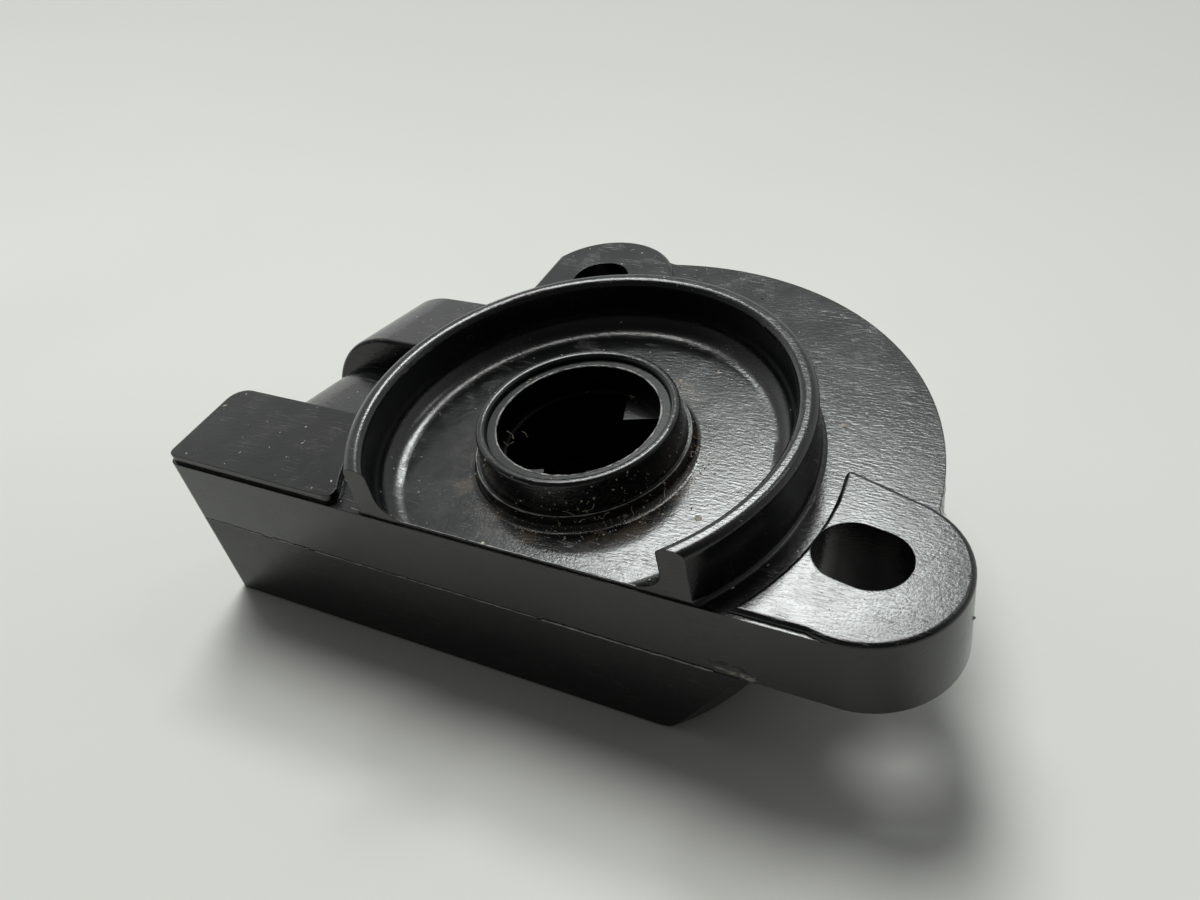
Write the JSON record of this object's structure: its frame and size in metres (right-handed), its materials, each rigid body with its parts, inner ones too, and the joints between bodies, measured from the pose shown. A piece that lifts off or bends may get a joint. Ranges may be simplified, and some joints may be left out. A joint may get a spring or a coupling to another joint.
{
  "type": "throttle position sensor",
  "caption": "Throttle position sensor with a dished round mounting face, slotted ears, a flat front, a sprung drive rotor and a blade connector at the back.",
  "frame": {"origin": "on the rotor's axis, level with the mounting pads on the two ears", "axes": "+Z out of the mounting face along the rotor's axis, +X along the flat front face towards the front ear, +Y towards the connector"},
  "size_m": [0.0677, 0.0415, 0.0216],
  "materials": {
    "housing_plastic": "satin",
    "cover_plastic": "satin",
    "seal_rubber": "matte",
    "steel": "satin",
    "board": "matte",
    "carbon": "matte",
    "terminal_brass": "satin",
    "silver_ink": "matte",
    "rotor_plastic": "satin"
  },
  "bodies": {
    "body": {"housing": "housing_plastic", "back_cover": "cover_plastic", "cover_seal": "seal_rubber", "shaft_seal": "seal_rubber", "seal_keeper": "steel", "return_spring": "steel", "element_board": "board", "resistive_track": "carbon", "collector_track": "carbon", "terminal_1": "terminal_brass", "terminal_2": "terminal_brass", "terminal_3": "terminal_brass", "contact_pad_1": "silver_ink", "contact_pad_2": "silver_ink", "contact_pad_3": "silver_ink", "contact_spring_1": "terminal_brass", "contact_spring_2": "terminal_brass", "contact_spring_3": "terminal_brass", "thrust_spring": "steel"},
    "rotor": {"rotor": "rotor_plastic", "spring_leg": "steel", "wiper_plate": "steel", "wiper_resistive": "terminal_brass", "wiper_collector": "terminal_brass"}
  },
  "joints": [
    {"name": "rotor_turn", "type": "hinge", "parent": "body", "child": "rotor", "pos_m": [0, 0, 0], "axis": [0, 0, 1], "range_deg": [0, 100], "stiffness_Nm_per_rad": 0.01, "springref_deg": -34.38}
  ]
}
